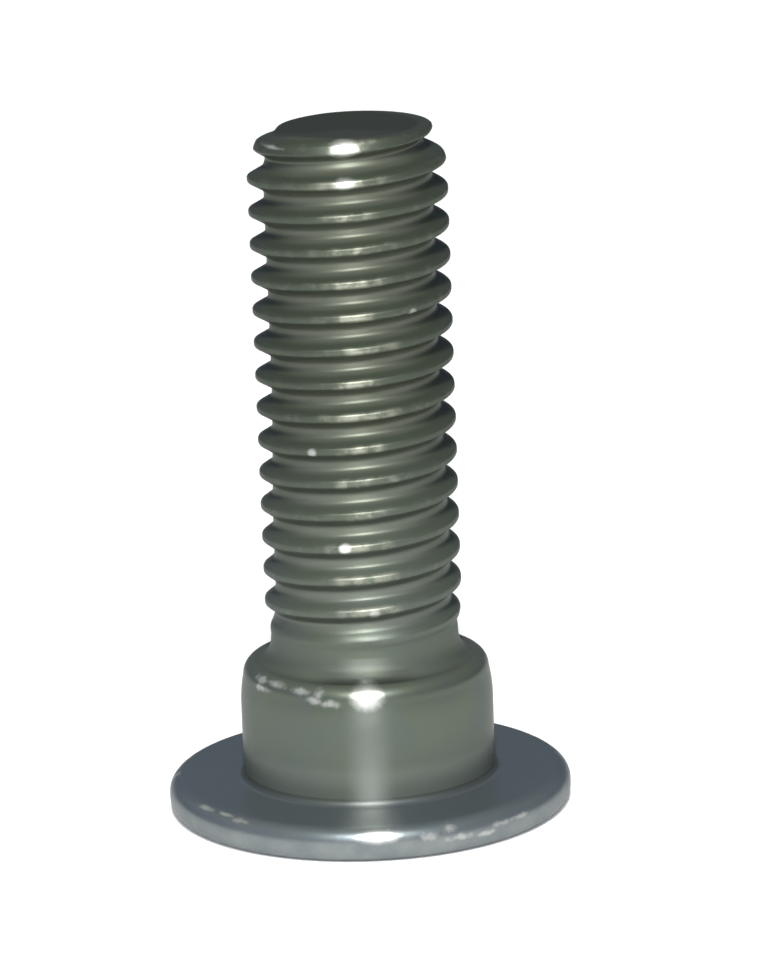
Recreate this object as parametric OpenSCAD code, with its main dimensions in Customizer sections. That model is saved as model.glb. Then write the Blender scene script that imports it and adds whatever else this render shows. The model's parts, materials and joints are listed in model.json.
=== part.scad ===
// Brake rotor bolt, standing on its head with the threaded end up.
// A thin wide head carries a plain shoulder that centres the rotor, and a rolled thread above it.

/* [Head] */
// Diameter of the head
head_d = 12.3; // [10:0.1:16]
// Thickness of the head
head_t = 1.05; // [0.8:0.05:2]
// Rounding of the head's rim, above and below
rim_r = 0.45; // [0.1:0.05:0.45]

/* [Shoulder] */
// Diameter of the plain shoulder
shoulder_d = 7.7; // [7:0.05:8.5]
// Height of the shoulder above the head
shoulder_h = 3.65; // [2.5:0.05:8]
// Fillet where the shoulder meets the head
shoulder_fillet_r = 0.2; // [0.05:0.05:0.4]
// Height of the tapered lead-in at the end of the shoulder
lead_in_h = 1.4; // [0.6:0.1:2]
// Narrowing of the shoulder over the lead-in, on the radius
lead_in_depth = 0.1; // [0.02:0.01:0.12]
// Rounding of the shoulder's end edge
shoulder_edge_r = 0.45; // [0.1:0.05:0.5]

/* [Neck] */
// Diameter of the neck between the shoulder and the thread
neck_d = 5.5; // [4.9:0.1:5.6]
// Height of the neck above the shoulder
neck_h = 0.55; // [0.5:0.05:2]
// Fillet where the neck meets the shoulder
neck_fillet_r = 0.4; // [0.2:0.05:0.5]

/* [Thread] */
// Length from the end of the shoulder to the tip
shank_len = 16.35; // [10:0.05:40]
// Diameter over the thread's crests
thread_d = 6; // [5.7:0.05:6.2]
// Rise of the right-hand thread in one turn
pitch = 1; // [0.7:0.05:1.25]
// Depth of the thread from crest to root
thread_depth = 0.52; // [0.4:0.02:0.62]
// Height over which the thread runs out into the neck
run_out_h = 0.75; // [0.3:0.05:3]
// Direction in which the crest meets the tip, measured about the axis
crest_angle = 0; // [-180:5:180]
// Height of the tapered point
point_h = 1.1; // [0.6:0.1:2]
// Narrowing of the thread over the point, on the radius
point_depth = 0.46; // [0.2:0.02:0.7]
// Depth of the shallow dish that rolling leaves in the tip
tip_dish = 0.2; // [0:0.02:0.3]

/* [Drive] */
// Width of the hexagon socket across its flats
socket_af = 4; // [3:0.5:4.5]
// Depth of the socket's flats below the outer face of the head
socket_depth = 2.6; // [1.5:0.1:3]
// Chamfer at the socket's mouth
socket_chamfer = 0.15; // [0.1:0.05:0.4]
// Angle of the cone at the bottom of the socket
socket_cone_angle = 120; // [90:5:150]
// Ledge between the socket's flats and that cone
socket_ledge = 0.1; // [0.05:0.05:0.4]

/* [Hidden] */
$fn = 96;

// Heights of the levels above the outer face of the head.
shoulder_z = head_t + shoulder_h;
neck_z = shoulder_z + neck_h;
tip_z = shoulder_z + shank_len;

head_r = head_d / 2;
shoulder_r = shoulder_d / 2;
lead_in_r = shoulder_r - lead_in_depth;
neck_r = neck_d / 2;
crest_r = thread_d / 2;
root_r = crest_r - thread_depth;

// The thread is a net of columns round the axis and rows along the helix.
columns = 36;
// Widths of the crest and the root, and the place of the crest between two roots, as shares of the pitch.
crest_width = 0.22;
root_width = 0.27;
crest_place = 0.5;
// Rounding of crest and root, as a share of the thread's depth.
soft = 0.1;
// Each row of one turn: its place across the pitch, root to root, and its height, 0 at the root and 1 at the crest.
turn_rows = [
    [0, 0],
    [root_width / 2, soft],
    [crest_place - crest_width / 2, 1 - soft],
    [crest_place, 1],
    [crest_place + crest_width / 2, 1 - soft],
    [1 - root_width / 2, soft]
];
rows_per_turn = len(turn_rows);
turns = ceil(shank_len / pitch) + 1;
row_count = turns * rows_per_turn;
// Closest that a row comes to the plain ring at either end of the thread.
row_gap = pitch / 16;
// The shank starts inside the neck, a little slimmer than it.
neck_overlap = neck_h / 2;
neck_clearance = 0.03;
shank_r = neck_r - neck_clearance;
// Most of the head's thickness that one rounding of the rim may take.
rim_share = 0.45;
// How far a cut starts outside the face that it opens.
reach = 0.5;

function limit(x) = max(0, min(1, x));

// Height of a row at a column: rows climb by one pitch in each turn.
function row_z(row, column) =
    tip_z + pitch * (floor(row / rows_per_turn) + turn_rows[row % rows_per_turn][0] - crest_place
    + column / columns - turns + 1);

// Radius of a row: the thread grows out of the neck along the run-out, and narrows over the tapered point.
function row_r(row, z) =
    let (
        grown = limit((z - neck_z) / run_out_h),
        full = root_r + thread_depth * turn_rows[row % rows_per_turn][1],
        narrowed = point_depth * limit((z - tip_z + point_h) / point_h)
    )
    shank_r + (full - shank_r) * grown - narrowed;

// Radius where the end of the tip cuts the thread at a column: largest where the crest meets it.
function tip_edge_r(column) =
    let (
        across = (crest_place + 1 - column / columns) % 1,
        height = lookup(across, concat(turn_rows, [[1, 0]]))
    )
    root_r + thread_depth * height - point_depth;

function ring_point(r, column, z) =
    let (angle = crest_angle + 360 * column / columns)
    [r * cos(angle), r * sin(angle), z];

function rows_below(z, column) = len([for (row = [0 : row_count - 1]) if (row_z(row, column) < z) row]);

// Triangles that fill a convex outline, seen from its first point.
function fan(outline) = [for (k = [1 : len(outline) - 2]) [outline[0], outline[k], outline[k + 1]]];

module threaded_shank() {
    start_z = neck_z - neck_overlap;
    first = [for (c = [0 : columns]) rows_below(neck_z + row_gap, c)];
    last = [for (c = [0 : columns]) rows_below(tip_z - row_gap, c) - 1];

    // Points: two end centres, two rings at the start, one ring at the tip, then the rows of each column in turn.
    centres = [[0, 0, start_z], [0, 0, tip_z - tip_dish]];
    rings = [
        for (z = [start_z, neck_z]) each [for (c = [0 : columns - 1]) ring_point(shank_r, c, z)],
        for (c = [0 : columns - 1]) ring_point(tip_edge_r(c), c, tip_z)
    ];
    net = [
        for (c = [0 : columns - 1])
            for (row = [first[c] : last[c]]) ring_point(row_r(row, row_z(row, c)), c, row_z(row, c))
    ];
    net_start = len(centres) + len(rings);
    column_start = [
        for (c = 0, start = net_start; c < columns; start = start + last[c] - first[c] + 1, c = c + 1) start
    ];

    // Index of a ring's point, and of a row's point; the column after the last is the first, one turn further on.
    function ring_index(ring, c) = len(centres) + ring * columns + c % columns;
    function row_index(row, c) =
        c < columns
            ? column_start[c] + row - first[c]
            : column_start[0] + row + rows_per_turn - first[0];

    // Faces between two neighbouring columns, from the start centre to the tip centre.
    function strip(c) =
        let (
            n = c + 1,
            low = max(first[c], first[n]),
            high = min(last[c], last[n]),
            foot = concat(
                [for (row = [low : -1 : first[n]]) row_index(row, n)],
                [ring_index(1, n), ring_index(1, c)],
                [for (row = [first[c] : low]) row_index(row, c)]
            ),
            top = concat(
                [for (row = [high : last[c]]) row_index(row, c)],
                [ring_index(2, c), ring_index(2, n)],
                [for (row = [last[n] : -1 : high]) row_index(row, n)]
            )
        )
        concat(
            [[0, ring_index(0, c), ring_index(0, n)]],
            fan([ring_index(0, n), ring_index(0, c), ring_index(1, c), ring_index(1, n)]),
            fan(foot),
            [
                for (row = [low : high - 1])
                    each fan([row_index(row, n), row_index(row, c), row_index(row + 1, c), row_index(row + 1, n)])
            ],
            fan(top),
            [[1, ring_index(2, n), ring_index(2, c)]]
        );

    polyhedron(concat(centres, rings, net), [for (c = [0 : columns - 1]) each strip(c)]);
}

// Half section of the head: a disc with a rounded rim.
module head_section() {
    r = min(rim_r, head_t * rim_share);
    square([head_r - r, head_t]);
    translate([0, r]) square([head_r, head_t - 2 * r]);
    for (z = [r, head_t - r]) translate([head_r - r, z]) circle(r);
}

// Material that fills an inner corner at the origin with a fillet.
module fillet_section(r) {
    difference() {
        translate([-r, -r]) square(2 * r);
        translate([r, r]) circle(r);
    }
}

// Half section of the shoulder and the neck.
module shoulder_section() {
    edge_z = shoulder_z - shoulder_edge_r;
    edge_r = lead_in_r - shoulder_edge_r;
    square([shoulder_r, shoulder_z - lead_in_h]);
    polygon([
        [0, shoulder_z - lead_in_h],
        [shoulder_r, shoulder_z - lead_in_h],
        [lead_in_r, edge_z],
        [edge_r, edge_z],
        [edge_r, shoulder_z],
        [0, shoulder_z]
    ]);
    translate([edge_r, edge_z]) circle(shoulder_edge_r);
    square([neck_r, neck_z]);
    translate([shoulder_r, head_t]) fillet_section(shoulder_fillet_r);
    translate([neck_r, shoulder_z]) fillet_section(neck_fillet_r);
}

module turned_body() {
    rotate_extrude() {
        head_section();
        shoulder_section();
    }
}

// Hexagon socket with a chamfered mouth and a cone at its bottom, open at the outer face of the head.
module drive_socket() {
    corner_r = socket_af / 2 / cos(30);
    mouth_r = corner_r + socket_chamfer;
    cone_r = socket_af / 2 - socket_ledge;
    cone_h = cone_r / tan(socket_cone_angle / 2);
    translate([0, 0, -reach]) {
        cylinder(r = corner_r, h = socket_depth + reach, $fn = 6);
        cylinder(r1 = mouth_r + reach, r2 = cone_r / 2, h = mouth_r + reach - cone_r / 2);
    }
    translate([0, 0, socket_depth]) cylinder(r1 = cone_r, r2 = 0, h = cone_h);
}

module bolt() {
    color("#4f584f")
    difference() {
        union() {
            turned_body();
            threaded_shank();
        }
        drive_socket();
    }
}

bolt();
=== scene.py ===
"""Dresses the brake rotor bolt: a fine skin with a helical thread, worn dark coating, white floor."""

import json
import math
from collections import namedtuple

import bpy
from mathutils import Matrix, Vector, noise


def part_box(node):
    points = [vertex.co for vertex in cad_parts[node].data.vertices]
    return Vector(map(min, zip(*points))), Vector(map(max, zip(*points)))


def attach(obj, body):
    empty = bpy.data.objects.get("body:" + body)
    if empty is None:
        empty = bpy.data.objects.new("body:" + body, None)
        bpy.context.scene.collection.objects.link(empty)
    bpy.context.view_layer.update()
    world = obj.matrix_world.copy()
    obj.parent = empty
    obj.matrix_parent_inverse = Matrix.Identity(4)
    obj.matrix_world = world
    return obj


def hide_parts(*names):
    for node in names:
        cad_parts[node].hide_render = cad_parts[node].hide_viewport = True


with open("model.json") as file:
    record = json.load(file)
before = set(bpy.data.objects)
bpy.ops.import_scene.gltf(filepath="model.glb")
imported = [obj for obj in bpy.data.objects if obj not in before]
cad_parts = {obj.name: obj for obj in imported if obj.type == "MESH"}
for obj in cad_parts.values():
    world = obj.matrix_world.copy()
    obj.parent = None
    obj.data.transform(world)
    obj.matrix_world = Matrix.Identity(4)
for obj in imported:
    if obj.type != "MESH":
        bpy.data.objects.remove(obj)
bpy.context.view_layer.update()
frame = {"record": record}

MM = 0.001

# Sizes that the CAD part gives, in millimetres.
mounts = {mount["name"]: mount for mount in frame["record"]["mounts"]}
low_corner, high_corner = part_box("bolt")
HEAD_R = high_corner[1] / MM
TIP_Z = high_corner[2] / MM
HEAD_T = mounts["head_seat"]["pos_m"][2] / MM
SHOULDER_Z = mounts["shoulder_end"]["pos_m"][2] / MM
SHOULDER_R = mounts["shoulder"]["dims"]["r_mm"]
CREST_R = mounts["thread"]["dims"]["r_mm"]
SOCKET_DEPTH = mounts["drive_socket"]["dims"]["length_mm"]

# The other sizes of the bolt that are as in the CAD part, in millimetres.
RIM_R = 0.45
SHOULDER_FILLET_R = 0.2
LEAD_IN_H = 1.4
LEAD_IN_DEPTH = 0.1
SHOULDER_EDGE_R = 0.45
PITCH = 1.0
POINT_H = 1.1
POINT_DEPTH = 0.46
SOCKET_AF = 4.0
SOCKET_CHAMFER = 0.15
SOCKET_CONE_ANGLE = 120
SOCKET_LEDGE = 0.1

# Sizes in which the skin departs a little from the CAD part, to come closer to the photograph.
NECK_R = 2.85
NECK_FILLET_R = 0.42
NECK_FILLET_H = 0.72
THREAD_DEPTH = 0.49
CREST_WIDTH = 0.18
ROOT_WIDTH = 0.27
RUN_OUT_H = 1.1
TIP_DISH = 0.14
NECK_TOP_Z = SHOULDER_Z + NECK_FILLET_H

# Roundings that only the skin has, in millimetres. The tip's edge starts at an angle in degrees.
CREST_EDGE_R = 0.1
ROOT_EDGE_R = 0.17
TIP_EDGE_R = 0.22
TIP_EDGE_START = 45
TIP_LIP = 0.12
DISH_CURVE = 1.3
SOCKET_EDGE = 0.04
# How much fuller the thread gets over the point, and by what share it is shallower below a height.
POINT_FULLNESS = 1.0
LOW_FILL = 0.28
LOW_FILL_Z = 8
LOW_FILL_FADE = 6
# How far the worn crests wander, and how quickly.
CREST_WANDER = 0.012
CREST_WANDER_SCALE = 1.7

# Fineness of the skin.
COLUMNS = 144
ARC_STEPS = 8
CORNER_STEPS = 6
FLANK_STEPS = 3
DISH_STEPS = 10


def arc(centre_r, centre_z, radius, start, end, steps=ARC_STEPS):
    """Points of an arc in the half section, angles in degrees from outward towards the tip."""
    points = []
    for k in range(steps + 1):
        angle = math.radians(start + (end - start) * k / steps)
        points.append((centre_r + radius * math.cos(angle), centre_z + radius * math.sin(angle)))
    return points


def line(start, end, steps):
    """Points between two points of the half section, without its ends."""
    return [
        tuple(a + (b - a) * k / steps for a, b in zip(start, end))
        for k in range(1, steps)
    ]


def soft_start(share, width=0.2):
    """0 below 0 and the share itself above, rounded where they meet."""
    if share > width:
        return share
    return max(0.0, share + width) ** 2 / (4 * width)


def smooth_step(share):
    share = min(1.0, max(0.0, share))
    return share * share * (3 - 2 * share)


def hexagon_r(angle):
    """Distance from the axis to the socket's flats in a direction; its first corner is at angle 0."""
    side = math.radians(60)
    return SOCKET_AF / 2 / math.cos(angle % side - side / 2)


def thread_profile():
    """Rows across one pitch, from root to root: each one's height along the axis and depth below the crest."""
    foot_h = ROOT_WIDTH / 2
    crest_h = PITCH / 2 - CREST_WIDTH / 2
    turn = math.atan2(THREAD_DEPTH, crest_h - foot_h)
    turns = [turn * k / CORNER_STEPS for k in range(CORNER_STEPS + 1)]
    root_start = foot_h - ROOT_EDGE_R * math.tan(turn / 2)
    crest_end = crest_h + CREST_EDGE_R * math.tan(turn / 2)
    root = [
        (root_start + ROOT_EDGE_R * math.sin(t), THREAD_DEPTH - ROOT_EDGE_R * (1 - math.cos(t)))
        for t in turns
    ]
    crest = [
        (crest_end - CREST_EDGE_R * math.sin(t), CREST_EDGE_R * (1 - math.cos(t)))
        for t in reversed(turns)
    ]
    rising = [(0, THREAD_DEPTH)] + root + line(root[-1], crest[0], FLANK_STEPS) + crest + [(PITCH / 2, 0)]
    falling = [(PITCH - h, d) for h, d in reversed(rising[1:-1])]
    return rising + falling


PROFILE = thread_profile()


def thread_depth(angle, z):
    """Depth of the thread below its crest at a place: the helix climbs by one pitch in a turn."""
    height = (PITCH / 2 + z - TIP_Z - PITCH * angle / math.tau) % PITCH
    ends = PROFILE[1:] + [(PITCH, THREAD_DEPTH)]
    for (h0, d0), (h1, d1) in zip(PROFILE, ends):
        if height <= h1:
            return d0 + (d1 - d0) * (height - h0) / (h1 - h0)
    return THREAD_DEPTH


def thread_r(depth, z):
    """Radius of the thread: it grows out of the neck, and over the point it narrows and gets fuller."""
    grown = smooth_step((z - NECK_TOP_Z) / RUN_OUT_H)
    narrowed = soft_start((z - TIP_Z + POINT_H) / POINT_H)
    depth = THREAD_DEPTH * (depth / THREAD_DEPTH) ** (1 + POINT_FULLNESS * narrowed)
    depth *= 1 - LOW_FILL * (1 - smooth_step((z - LOW_FILL_Z) / LOW_FILL_FADE))
    return NECK_R + (CREST_R - depth - NECK_R) * grown - POINT_DEPTH * narrowed


def crest_wander(depth, angle, z):
    """Small unevenness of the rolled crest, always inward."""
    place = Vector((CREST_R * math.cos(angle), CREST_R * math.sin(angle), z))
    height = 1 - depth / THREAD_DEPTH
    return CREST_WANDER * height * (noise.noise(place * CREST_WANDER_SCALE) - 1) / 2


class Skin:
    """Points and faces of the bolt's skin: rings of points round the axis, joined by quads."""

    def __init__(self):
        self.points = []
        self.faces = []

    def angle(self, column):
        return math.tau * column / COLUMNS

    def point(self, r, angle, z):
        self.points.append((r * math.cos(angle) * MM, r * math.sin(angle) * MM, z * MM))
        return len(self.points) - 1

    def ring(self, row):
        """A ring from (r, z), or from a function of the angle that gives it."""
        made = []
        for column in range(COLUMNS):
            angle = self.angle(column)
            r, z = row(angle) if callable(row) else row
            made.append(self.point(r, angle, z))
        return made

    def join(self, lower, upper):
        for c in range(COLUMNS):
            n = (c + 1) % COLUMNS
            self.faces.append((lower[c], lower[n], upper[n], upper[c]))

    def close(self, ring, z, outward):
        """Closes a ring with a fan round a point on the axis."""
        centre = self.point(0, 0, z)
        for c in range(COLUMNS):
            n = (c + 1) % COLUMNS
            self.faces.append((ring[c], ring[n], centre) if outward else (ring[n], ring[c], centre))

    def stack(self, rows, start=None):
        """Joins rings one after the other and returns the first and the last."""
        last = start
        first = start
        for row in rows:
            ring = self.ring(row)
            if last:
                self.join(last, ring)
            first = first or ring
            last = ring
        return first, last


def socket_rows():
    """The hidden socket, from the cone at its bottom out to its mouth."""
    mouth_r = SOCKET_AF / 2 / math.cos(math.radians(30)) + SOCKET_CHAMFER
    cone_r = SOCKET_AF / 2 - SOCKET_LEDGE
    slope = math.tan(math.radians(SOCKET_CONE_ANGLE / 2))
    cone = [(cone_r * k / 4, SOCKET_DEPTH + (cone_r - cone_r * k / 4) / slope) for k in range(1, 5)]
    walls = [
        lambda a: (hexagon_r(a) - SOCKET_EDGE, SOCKET_DEPTH),
        lambda a: (hexagon_r(a), SOCKET_DEPTH - SOCKET_EDGE),
        lambda a: (hexagon_r(a), (SOCKET_DEPTH + mouth_r - hexagon_r(a)) / 2),
        lambda a: (hexagon_r(a), mouth_r - hexagon_r(a) + SOCKET_EDGE),
        lambda a: (hexagon_r(a) + SOCKET_EDGE / 2, mouth_r - hexagon_r(a) - SOCKET_EDGE / 2),
    ]
    mouth = arc(mouth_r + SOCKET_EDGE, SOCKET_EDGE, SOCKET_EDGE, 225, 270, 3)
    return cone + walls + mouth


def body_rows():
    """Head, shoulder and neck, from the head's outer face up to the start of the thread."""
    lead_in_r = SHOULDER_R - LEAD_IN_DEPTH
    wall_top = SHOULDER_Z - LEAD_IN_H
    rim_centre = HEAD_R - RIM_R
    face = line((0, 0), (rim_centre, 0), 8)[4:]
    lower_rim = arc(rim_centre, RIM_R, RIM_R, -90, 0)
    upper_rim = arc(rim_centre, HEAD_T - RIM_R, RIM_R, 0, 90)
    seat = line((rim_centre, HEAD_T), (SHOULDER_R + SHOULDER_FILLET_R, HEAD_T), 6)
    base = arc(SHOULDER_R + SHOULDER_FILLET_R, HEAD_T + SHOULDER_FILLET_R, SHOULDER_FILLET_R, 270, 180)
    wall = line(base[-1], (SHOULDER_R, wall_top), 8)
    edge_r = lead_in_r - SHOULDER_EDGE_R
    edge = arc(edge_r, SHOULDER_Z - SHOULDER_EDGE_R, SHOULDER_EDGE_R, 0, 90)
    lead_in = [
        (SHOULDER_R - LEAD_IN_DEPTH * share ** 2, wall_top + (edge[0][1] - wall_top) * share)
        for share in (0, 0.2, 0.4, 0.6, 0.8)
    ]
    foot = [
        (r, SHOULDER_Z + (z - SHOULDER_Z) * NECK_FILLET_H / NECK_FILLET_R)
        for r, z in arc(NECK_R + NECK_FILLET_R, SHOULDER_Z + NECK_FILLET_R, NECK_FILLET_R, 270, 180)
    ]
    top = line(edge[-1], foot[0], 3)
    return face + lower_rim + upper_rim + seat + base + wall + lead_in + edge + top + foot


def tip_edge_z(turn):
    """Height of the tip's rounded edge at an angle in degrees, 90 where it meets the lip."""
    return TIP_Z - TIP_EDGE_R * (1 - math.sin(math.radians(turn)))


def tip_rows():
    """The tip: a rounded edge that follows the thread's cross-section, a narrow lip and a shallow dish."""
    start_z = tip_edge_z(TIP_EDGE_START)

    def flat_r(angle):
        end_r = thread_r(thread_depth(angle, TIP_Z), TIP_Z)
        return end_r - TIP_EDGE_R * math.tan(math.radians(TIP_EDGE_START / 2))

    def rounding(turn):
        share = math.cos(math.radians(turn)) / math.cos(math.radians(TIP_EDGE_START))
        z = tip_edge_z(turn)

        def row(angle):
            start_r = thread_r(thread_depth(angle, start_z), start_z)
            return flat_r(angle) + (start_r - flat_r(angle)) * share, z
        return row

    def dish(share):
        z = TIP_Z - TIP_DISH * (1 - (1 - share) ** DISH_CURVE)
        return lambda angle: ((flat_r(angle) - TIP_LIP) * (1 - share), z)

    edge = [rounding(turn) for turn in range(TIP_EDGE_START, 91, 9)]
    return edge + [dish(k / DISH_STEPS) for k in range(DISH_STEPS)]


def add_thread(skin, foot, top):
    """Nets the thread between two rings: columns round the axis, rows that climb along the helix."""
    per_turn = len(PROFILE)
    start_z = NECK_TOP_Z
    end_z = tip_edge_z(TIP_EDGE_START)
    gap = 0.02
    turns = math.ceil((TIP_Z - start_z) / PITCH) + 1

    def row_z(row, column):
        climbed = row // per_turn + column / COLUMNS - turns + 1
        return TIP_Z + PITCH * (climbed - 0.5) + PROFILE[row % per_turn][0]

    def rows_between(column):
        return [
            row for row in range(turns * per_turn)
            if start_z + gap < row_z(row, column) < end_z - gap
        ]

    def make(row, column):
        z = row_z(row, column)
        angle = skin.angle(column)
        depth = PROFILE[row % per_turn][1]
        return skin.point(thread_r(depth, z) + crest_wander(depth, angle, z), angle, z)

    columns = [{row: make(row, c) for row in rows_between(c)} for c in range(COLUMNS)]
    # The column after the last is the first, one turn further on.
    columns.append({row - per_turn: index for row, index in columns[0].items()})
    for c in range(COLUMNS):
        here, there = columns[c], columns[c + 1]
        n = (c + 1) % COLUMNS
        low = max(min(here), min(there))
        high = min(max(here), max(there))
        for row in range(low, high):
            skin.faces.append((here[row], there[row], there[row + 1], here[row + 1]))
        lower = [here[row] for row in range(low, min(here) - 1, -1)] + [foot[c], foot[n]]
        lower += [there[row] for row in range(min(there), low + 1)]
        upper = [there[row] for row in range(high, max(there) + 1)] + [top[n], top[c]]
        upper += [here[row] for row in range(max(here), high - 1, -1)]
        skin.faces += [tuple(lower), tuple(upper)]


def build_bolt():
    """The whole bolt as one closed skin."""
    skin = Skin()
    cone_h = (SOCKET_AF / 2 - SOCKET_LEDGE) / math.tan(math.radians(SOCKET_CONE_ANGLE / 2))
    socket_first, socket_last = skin.stack(socket_rows())
    skin.close(socket_first, SOCKET_DEPTH + cone_h, False)
    neck = skin.stack(body_rows(), socket_last)[1]
    tip_first, tip_last = skin.stack(tip_rows())
    add_thread(skin, neck, tip_first)
    skin.close(tip_last, TIP_Z - TIP_DISH, True)
    mesh = bpy.data.meshes.new("bolt_skin")
    mesh.from_pydata(skin.points, [], skin.faces)
    mesh.validate()
    mesh.shade_smooth()
    mesh.set_sharp_from_angle(angle=math.radians(50))
    bolt = bpy.data.objects.new("bolt_skin", mesh)
    bpy.context.collection.objects.link(bolt)
    return bolt


# A place on the object in millimetres: a vector, its radius and height, its azimuth in degrees from the front,
# and how far that is to either side.
Place = namedtuple("Place", "at r z azimuth turned")


class Nodes:
    """Short ways to add and link the nodes of a material."""

    def __init__(self, tree):
        self.tree = tree
        self.tree.nodes.clear()

    def add(self, kind, **settings):
        node = self.tree.nodes.new(kind)
        for key, value in settings.items():
            setattr(node, key, value)
        return node

    def put(self, socket, value):
        """Sets a socket to a value, or links it to another node's output."""
        if isinstance(value, bpy.types.NodeSocket):
            self.tree.links.new(value, socket)
        else:
            socket.default_value = value

    def math(self, operation, a, b=0.0):
        node = self.add("ShaderNodeMath", operation=operation)
        self.put(node.inputs[0], a)
        self.put(node.inputs[1], b)
        return node.outputs[0]

    def product(self, first, *others):
        for other in others:
            first = self.math("MULTIPLY", first, other)
        return first

    def greatest(self, first, *others):
        for other in others:
            first = self.math("MAXIMUM", first, other)
        return first

    def noise(self, vector, scale, detail=3.0, roughness=0.5):
        node = self.add("ShaderNodeTexNoise")
        self.put(node.inputs["Vector"], vector)
        self.put(node.inputs["Scale"], scale)
        self.put(node.inputs["Detail"], detail)
        self.put(node.inputs["Roughness"], roughness)
        return node.outputs[0]

    def ramp(self, value, low, high, to_low=0.0, to_high=1.0):
        """Maps a value smoothly from one range to another, held at its ends."""
        node = self.add("ShaderNodeMapRange", interpolation_type="SMOOTHSTEP", clamp=True)
        for socket, number in zip(node.inputs, (value, low, high, to_low, to_high)):
            self.put(socket, number)
        return node.outputs[0]

    def window(self, value, low, high, soft):
        """1 between two values, falling to 0 outside them."""
        return self.product(self.ramp(value, low - soft, low), self.ramp(value, high, high + soft, 1.0, 0.0))

    def mix_colour(self, share, a, b):
        node = self.add("ShaderNodeMix", data_type="RGBA")
        self.put(node.inputs[0], share)
        self.put(node.inputs[6], a)
        self.put(node.inputs[7], b)
        return node.outputs[2]

    def place(self):
        """The place on the object that is being shaded."""
        scaled = self.add("ShaderNodeVectorMath", operation="SCALE")
        self.put(scaled.inputs[0], self.add("ShaderNodeTexCoord").outputs["Object"])
        self.put(scaled.inputs["Scale"], 1 / MM)
        at = scaled.outputs[0]
        split = self.add("ShaderNodeSeparateXYZ")
        self.put(split.inputs[0], at)
        x, y, z = split.outputs
        r = self.math("SQRT", self.math("ADD", self.product(x, x), self.product(y, y)))
        azimuth = self.math("DEGREES", self.math("ARCTAN2", x, self.math("MULTIPLY", y, -1.0)))
        return Place(at, r, z, azimuth, self.math("ABSOLUTE", azimuth))

    def near(self, at, point, radius):
        """1 close to a point, falling to 0 at a radius."""
        gap = self.add("ShaderNodeVectorMath", operation="DISTANCE")
        self.put(gap.inputs[0], at)
        self.put(gap.inputs[1], point)
        return self.ramp(gap.outputs["Value"], radius * 0.35, radius, 1.0, 0.0)


# Colours of the coating, of what shows where it is worn, and of painted light and shade, as linear light.
COAT_OLIVE = (0.126, 0.147, 0.112, 1)
COAT_SLATE = (0.12, 0.142, 0.126, 1)
COAT_DEEP = (0.069, 0.082, 0.06, 1)
# A bluish tint for the head: a painted reflection.
PAINTED_BLUE_REFLECTION = (0.132, 0.162, 0.188, 1)
# Pale tone of worn crests, also used for their painted highlight in front and for the painted light in the
# roots.
PALE_WEAR_AND_LIGHT = (0.36, 0.365, 0.295, 1)
# Pale grey for the paler rim, and for the painted light and sheen on the shoulder's wall, the head and the
# neck.
PALE_GREY_AND_SHEEN = (0.34, 0.355, 0.335, 1)
BARE_STEEL = (0.55, 0.56, 0.52, 1)
# Polished steel, which also carries painted highlights.
POLISHED_AND_HIGHLIGHT = (0.85, 0.85, 0.81, 1)
# Pale flecks; on the strongest dot a painted glint.
PALE_FLECK_AND_GLINT = (0.8, 0.8, 0.76, 1)
# Painted shade: a near-black tone for darkened places.
PAINTED_SHADE = (0.03, 0.034, 0.029, 1)

# Chips in the coating: azimuth in degrees from the front, positive to the right, then in millimetres the height
# above the head's outer face, the half length round the axis and the half height.
SHOULDER_CHIPS = [
    (-60, 4.53, 0.36, 0.09),
    (-48, 4.53, 0.32, 0.08),
    (-58, 4.33, 0.42, 0.09),
    (-33, 4.5, 0.26, 0.1),
    (-23, 4.45, 0.14, 0.14),
    (-25, 4.28, 0.24, 0.1),
    (-17, 4.19, 0.3, 0.11),
]
RIM_CHIPS = [
    (-57, 1.0, 0.46, 0.05),
    (-48, 1.02, 0.3, 0.04),
    (-41, 0.96, 0.24, 0.05),
    (16, 0.7, 0.26, 0.1),
    (22, 0.85, 0.2, 0.14),
    (25, 0.55, 0.34, 0.09),
    (33, 0.5, 0.32, 0.08),
    (39, 0.68, 0.26, 0.08),
    (46, 0.7, 0.34, 0.07),
]
TIP_CHIPS = [(-57, 20.73, 0.5, 0.05)]
TIP_CHIPS_R = 2.5
# Polished places that carry a painted highlight, where the lamps' highlight falls on the tip, a crest, the
# shoulder's edge and the rim: as above, then the radius there.
POLISH_AND_HIGHLIGHT_PATCHES = [
    (-1.6, 20.8, 0.36, 0.26, 2.65),
    (-1.9, 19.8, 0.3, 0.16, 2.95),
    (0, 4.39, 0.42, 0.33, 3.6),
    (1.8, 0.8, 0.56, 0.17, 6.1),
]
# Small pale dots on the crests, flecks of wear, of which the strongest, near the front, is a painted glint:
# azimuth in degrees, height and radius in millimetres, strength.
PALE_DOTS = [
    (-9.5, 8.81, 0.24, 0.9),
    (-27.1, 11.71, 0.19, 0.4),
    (6.3, 6.74, 0.22, 0.35),
    (36.7, 15.78, 0.19, 0.3),
]


def on_bolt(azimuth, r, z):
    """A point of the object from its azimuth in degrees, radius and height."""
    a = math.radians(azimuth)
    return (r * math.sin(a), -r * math.cos(a), z)


def chip(n, p, ragged, edge_r, place):
    """A ragged flake of lost coating on a round edge."""
    at_azimuth, at_z, half_length, half_height = place
    along = n.math("MULTIPLY", n.math("SUBTRACT", p.azimuth, at_azimuth), math.radians(edge_r) / half_length)
    across = n.math("MULTIPLY", n.math("SUBTRACT", p.z, at_z), 1 / half_height)
    reach = n.math("SQRT", n.math("ADD", n.product(along, along), n.product(across, across)))
    return n.ramp(n.math("ADD", reach, ragged), 0.1, 1.5, 1.0, 0.0)


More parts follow.
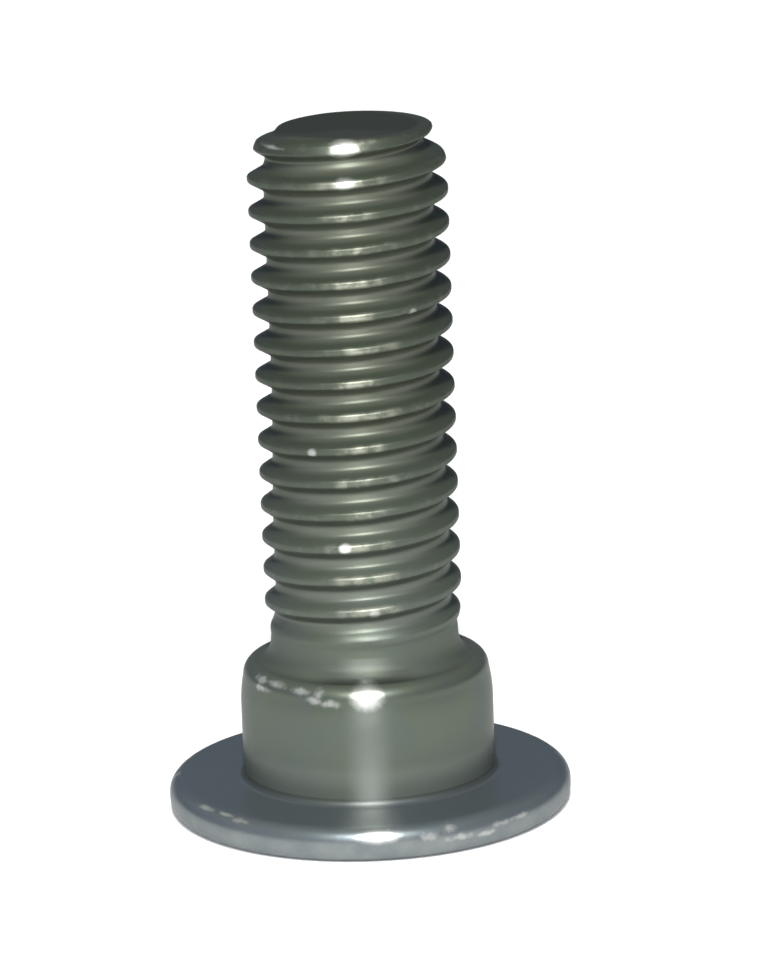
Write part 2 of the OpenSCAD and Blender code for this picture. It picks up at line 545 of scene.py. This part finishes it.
def sound_coat(n, p, patches):
    """The sound coating: two tones in patches, deeper up the thread, and a bluish tint on the head that is a
    painted reflection.
    """
    colour = n.mix_colour(n.ramp(patches, 0.35, 0.65), COAT_OLIVE, COAT_SLATE)
    colour = n.mix_colour(n.ramp(p.z, 4.8, 14.0, 0.25, 1.0), colour, COAT_DEEP)
    # Painted reflection: the head is tinted bluish.
    return n.mix_colour(n.ramp(p.z, HEAD_T + 0.02, HEAD_T + 0.2, 0.7, 0.0), colour, PAINTED_BLUE_REFLECTION)


def thread_masks(n, p):
    """Where the thread is, its crests, how far the coating is worn down on them with a painted highlight on
    them in front, and painted light that lifts the shade of the roots, most in front.
    """
    threaded = n.ramp(p.z, NECK_TOP_Z, NECK_TOP_Z + 0.7)
    narrowed = n.math("MAXIMUM", n.math("SUBTRACT", p.z, TIP_Z - POINT_H), 0.0)
    full_r = n.math("ADD", p.r, n.math("MULTIPLY", narrowed, POINT_DEPTH / POINT_H))
    crest = n.product(n.ramp(full_r, CREST_R - 0.14, CREST_R - 0.04), threaded)
    wear = n.noise(p.at, 2.0, 4.0, 0.6)
    aside = n.math("ADD", p.azimuth, n.ramp(n.noise(p.at, 0.7, 2.0), 0.3, 0.7, -12.0, 6.0))
    front = n.ramp(n.math("ABSOLUTE", aside), 10.0, 23.0, 1.0, 0.0)
    worn_round = n.ramp(wear, 0.5, 0.75, 0.0, 0.14)
    # Painted highlight: pale worn-looking patches on the crests only in front, where the lamps reflect.
    painted_front_highlight = n.product(front, n.ramp(wear, 0.38, 0.58, 0.08, 0.5))
    crest_wear_and_highlight = n.product(n.math("ADD", worn_round, painted_front_highlight), crest)
    # Painted light: the roots made paler to lift their shade, most in front.
    root = n.product(
        n.ramp(full_r, CREST_R - 0.4, CREST_R - 0.2, 1.0, 0.0),
        n.ramp(p.turned, 30.0, 70.0, 0.21, 0.04),
        threaded,
    )
    return threaded, crest, crest_wear_and_highlight, root


def painted_shade_masks(n, p):
    """Painted shade: the tip's face made darker, the neck's corner in front, and the fillet at the shoulder's
    foot.
    """
    face = n.product(n.ramp(p.r, 2.05, 2.35, 1.0, 0.0), n.ramp(p.z, TIP_Z - 0.3, TIP_Z - 0.15))
    corner = n.product(
        n.window(p.z, SHOULDER_Z - 0.04, SHOULDER_Z + 0.22, 0.1),
        n.ramp(p.r, 3.3, 3.45, 1.0, 0.0),
        n.ramp(p.turned, 12.0, 35.0, 0.6, 0.0),
    )
    fillet = n.window(p.z, HEAD_T + 0.05, HEAD_T + 0.2, 0.05)
    return face, corner, fillet


def sheen(n, p):
    """Painted sheen and reflection: paler streaks in front, down the shoulder's wall and across the head, and a
    painted highlight on the neck.
    """
    wall = n.product(
        n.ramp(p.turned, 0.0, 13.0, 1.0, 0.0),
        n.window(p.z, HEAD_T - 0.02, SHOULDER_Z - 0.7, 0.2),
        n.ramp(p.z, HEAD_T, HEAD_T + 2.5, 0.55, 0.2),
    )
    neck = n.product(
        n.ramp(p.turned, 3.0, 20.0, 0.25, 0.0),
        n.window(p.z, SHOULDER_Z + 0.4, SHOULDER_Z + 0.6, 0.12),
    )
    return n.greatest(wall, neck)


def paler_rim(n, p):
    """Uneven paler tone on the head's rim, most on its lower half."""
    return n.product(
        n.ramp(p.r, HEAD_R - 0.3, HEAD_R - 0.1),
        n.ramp(p.z, 0.55, 0.85, 1.0, 0.25),
        n.ramp(n.noise(p.at, 0.9, 4.0, 0.6), 0.3, 0.7, 0.25, 0.5),
    )


def lost_coating(n, p, ragged):
    """Flakes of lost coating on the shoulder's edge, the rim and the tip, and scattered ones behind."""
    edge_r = SHOULDER_R - LEAD_IN_DEPTH
    edge_band = n.product(
        n.ramp(p.r, edge_r - 0.4, edge_r - 0.25),
        n.window(p.z, SHOULDER_Z - 0.55, SHOULDER_Z, 0.15),
    )
    rim_band = n.product(n.ramp(p.r, HEAD_R - 0.4, HEAD_R - 0.25), n.window(p.z, HEAD_T - 0.6, HEAD_T, 0.15))
    tip_band = n.ramp(p.r, 2.2, 2.3)
    flecks = n.ramp(n.noise(p.at, 1.3, 5.0, 0.6), 0.56, 0.7)
    behind = n.ramp(p.turned, 75.0, 100.0)
    flakes = [n.product(n.greatest(edge_band, rim_band), behind, flecks)]
    for band, band_r, places in (
        (edge_band, SHOULDER_R, SHOULDER_CHIPS),
        (rim_band, HEAD_R, RIM_CHIPS),
        (tip_band, TIP_CHIPS_R, TIP_CHIPS),
    ):
        chips = [chip(n, p, ragged, band_r, place) for place in places]
        flakes.append(n.product(band, n.greatest(*chips)))
    return n.greatest(*flakes)


def pale_dots(n, p):
    dots = [
        n.product(n.near(p.at, on_bolt(azimuth, CREST_R, z), radius), strength)
        for azimuth, z, radius, strength in PALE_DOTS
    ]
    return n.greatest(*dots)


# Polished patches placed where the lamps' highlight falls: painted highlights.
def polish_and_highlight_patches(n, p, ragged):
    soft = n.product(ragged, 0.25)
    patches = [chip(n, p, soft, place[4], place[:4]) for place in POLISH_AND_HIGHLIGHT_PATCHES]
    return n.product(n.greatest(*patches), n.ramp(p.r, 2.2, 2.4))


def coated_steel():
    """Dark greenish grey coating on steel, worn down on the thread's crests and chipped at the edges, with
    painted highlights, sheen, reflection and shade.
    """
    material = bpy.data.materials.new("coated_steel")
    material.use_nodes = True
    n = Nodes(material.node_tree)
    p = n.place()

    patches = n.noise(p.at, 0.5, 4.0, 0.55)
    grain = n.noise(p.at, 9.0, 4.0, 0.6)
    ragged = n.ramp(n.noise(p.at, 3.5, 4.0, 0.6), 0.25, 0.75, -0.5, 0.5)
    threaded, crest, crest_wear_and_highlight, root = thread_masks(n, p)
    face, corner, fillet = painted_shade_masks(n, p)
    # Painted light: the foot of the shoulder's wall made paler.
    painted_light_at_wall_foot = n.window(p.z, HEAD_T + 0.25, HEAD_T + 0.9, 0.4)
    bare = lost_coating(n, p, ragged)
    dots = pale_dots(n, p)
    polish_and_highlight = polish_and_highlight_patches(n, p, ragged)

    colour = sound_coat(n, p, patches)
    for share, layer in (
        # Worn crests with a painted highlight in front, and the roots lifted by painted light.
        (crest_wear_and_highlight, PALE_WEAR_AND_LIGHT),
        (root, PALE_WEAR_AND_LIGHT),
        # Painted shade on the tip's face, the neck's corner and the fillet at the shoulder's foot.
        (n.product(face, 0.68), PAINTED_SHADE),
        (corner, PAINTED_SHADE),
        # Painted light at the foot of the shoulder's wall.
        (n.product(painted_light_at_wall_foot, 0.12), PALE_GREY_AND_SHEEN),
        (n.product(fillet, 0.5), PAINTED_SHADE),
        # Painted sheen and reflection in front, and a painted highlight on the neck.
        (sheen(n, p), PALE_GREY_AND_SHEEN),
        (paler_rim(n, p), PALE_GREY_AND_SHEEN),
        (n.product(bare, 0.6), BARE_STEEL),
        # Pale flecks of wear, the strongest a painted glint.
        (dots, PALE_FLECK_AND_GLINT),
        # Polished patches with painted highlights.
        (n.product(polish_and_highlight, 0.9), POLISHED_AND_HIGHLIGHT),
    ):
        colour = n.mix_colour(share, colour, layer)

    duller = n.greatest(
        n.product(crest, 0.12),
        n.product(n.window(p.z, SHOULDER_Z, NECK_TOP_Z + 0.4, 0.3), 0.16),
        n.product(threaded, 0.1),
        n.product(polish_and_highlight, 0.17),
        n.product(fillet, 0.2),
        n.product(face, 0.2),
    )
    rough = n.math("ADD", n.ramp(patches, 0.3, 0.7, 0.33, 0.37), n.ramp(grain, 0.3, 0.7, -0.012, 0.012))

    bump = n.add("ShaderNodeBump")
    n.put(bump.inputs["Strength"], 0.3)
    n.put(bump.inputs["Distance"], 0.012 * MM)
    n.put(bump.inputs["Height"], n.math("SUBTRACT", n.math("ADD", grain, dots), bare))

    shader = n.add("ShaderNodeBsdfPrincipled")
    n.put(shader.inputs["Base Color"], colour)
    n.put(shader.inputs["Metallic"], n.math("ADD", n.product(n.greatest(crest_wear_and_highlight, polish_and_highlight), 0.4), 0.6))
    n.put(shader.inputs["Roughness"], n.math("ADD", rough, duller))
    n.put(shader.inputs["Specular Tint"], (0.5, 0.5, 0.5, 1))
    n.put(shader.inputs["Normal"], bump.outputs[0])
    out = n.add("ShaderNodeOutputMaterial")
    n.put(out.inputs["Surface"], shader.outputs[0])
    return material


def floor_white():
    """Plain white floor: it takes the bolt's shadow, and the camera and shiny surfaces see it white."""
    material = bpy.data.materials.new("floor_white")
    material.use_nodes = True
    n = Nodes(material.node_tree)
    paper = n.add("ShaderNodeBsdfDiffuse")
    n.put(paper.inputs["Color"], (0.9, 0.9, 0.9, 1))
    path = n.add("ShaderNodeLightPath").outputs
    seen = n.greatest(path["Is Camera Ray"], path["Is Glossy Ray"], path["Is Transmission Ray"])
    lift = n.add("ShaderNodeEmission")
    n.put(lift.inputs["Strength"], n.product(seen, 0.14))
    both = n.add("ShaderNodeAddShader")
    n.put(both.inputs[0], paper.outputs[0])
    n.put(both.inputs[1], lift.outputs[0])
    # From below the floor is see-through, so that the head's outer face can be looked at.
    under = n.greatest(n.add("ShaderNodeNewGeometry").outputs["Backfacing"], path["Transparent Depth"])
    sheet = n.add("ShaderNodeMixShader")
    n.put(sheet.inputs[0], under)
    n.put(sheet.inputs[1], both.outputs[0])
    n.put(sheet.inputs[2], n.add("ShaderNodeBsdfTransparent").outputs[0])
    out = n.add("ShaderNodeOutputMaterial")
    n.put(out.inputs["Surface"], sheet.outputs[0])
    return material


def add_floor():
    half = 2.0
    level = -0.01 * MM
    corners = [(x * half, y * half, level) for x, y in ((-1, -1), (1, -1), (1, 1), (-1, 1))]
    mesh = bpy.data.meshes.new("floor")
    mesh.from_pydata(corners, [], [(0, 1, 2, 3)])
    floor = bpy.data.objects.new("floor", mesh)
    bpy.context.collection.objects.link(floor)
    floor.data.materials.append(floor_white())


def on_sphere(azimuth, elevation, distance, centre):
    """A place at an azimuth, 0 in front and 90 at the right, and an elevation from the centre, in degrees."""
    a, e = math.radians(azimuth), math.radians(elevation)
    towards = Vector((math.sin(a) * math.cos(e), -math.cos(a) * math.cos(e), math.sin(e)))
    return Vector(centre) + towards * distance


def add_lamp(name, place, target, width, height, watts):
    """A soft flat lamp at a place that faces a target."""
    data = bpy.data.lights.new(name, "AREA")
    data.shape = "ELLIPSE"
    data.size = width
    data.size_y = height
    data.energy = watts
    lamp = bpy.data.objects.new(name, data)
    lamp.location = place
    lamp.rotation_euler = (Vector(target) - Vector(place)).to_track_quat("-Z", "Y").to_euler()
    bpy.context.collection.objects.link(lamp)


def add_lamps():
    """A tall narrow light in front with a brighter core, and a low one that lies before the bolt."""
    centre = Vector((0, 0, TIP_Z / 2 * MM))
    add_lamp("strip", on_sphere(0, 40, 1.0, centre), centre, width=0.14, height=0.95, watts=8.0)
    add_lamp("core", on_sphere(0, 45, 1.0, centre), centre, width=0.1, height=0.25, watts=8.0)
    add_lamp("low", (0, -0.085, 0.001), (0, -0.085, 1), width=0.02, height=0.11, watts=0.055)


def add_world():
    """A dim room, darker at the right, and darker and bluish towards the horizon."""
    world = bpy.data.worlds.new("studio")
    world.use_nodes = True
    n = Nodes(world.node_tree)
    split = n.add("ShaderNodeSeparateXYZ")
    n.put(split.inputs[0], n.add("ShaderNodeTexCoord").outputs["Generated"])
    room = n.add("ShaderNodeBackground")
    right, _, up = split.outputs
    colour = n.mix_colour(n.ramp(up, 0.25, 0.75), (0.72, 0.92, 1.6, 1), (1.0, 1.0, 0.86, 1))
    n.put(room.inputs["Color"], n.mix_colour(n.ramp(up, -0.15, 0.0), (1.0, 1.0, 1.0, 1), colour))
    above = n.product(n.ramp(up, 0.05, 0.45, 0.08, 0.3), n.ramp(right, -1.0, 1.0, 1.12, 0.62))
    below = n.ramp(up, -0.3, -0.05, 0.6, 0.0)
    n.put(room.inputs["Strength"], n.greatest(above, below))
    out = n.add("ShaderNodeOutputWorld")
    n.put(out.inputs["Surface"], room.outputs[0])
    bpy.context.scene.world = world


# The camera, from a fit to the photograph's outlines: lengths in millimetres, angles in degrees.
FRAME_HEIGHT_PX = 980
CAMERA_EYE = (0, -150, 48.129)
CAMERA_AIM = (0.627, 0, 9.825)
CAMERA_ROLL = 2.112
CAMERA_FOCAL_PX = 5121


def add_camera():
    data = bpy.data.cameras.new("camera")
    data.lens = CAMERA_FOCAL_PX * data.sensor_width / FRAME_HEIGHT_PX
    data.clip_start = 0.01
    data.clip_end = 20
    camera = bpy.data.objects.new("camera", data)
    eye = Vector(CAMERA_EYE) * MM
    aim = Vector(CAMERA_AIM) * MM
    turn = (aim - eye).to_track_quat("-Z", "Y").to_matrix().to_4x4()
    roll = Matrix.Rotation(math.radians(-CAMERA_ROLL), 4, "Z")
    camera.matrix_world = Matrix.Translation(eye) @ turn @ roll
    bpy.context.collection.objects.link(camera)
    bpy.context.scene.camera = camera


bolt = build_bolt()
bolt.data.materials.append(coated_steel())
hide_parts("bolt")
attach(bolt, "root")

add_floor()
add_lamps()
add_world()
add_camera()
bpy.context.scene.view_settings.view_transform = "Standard"
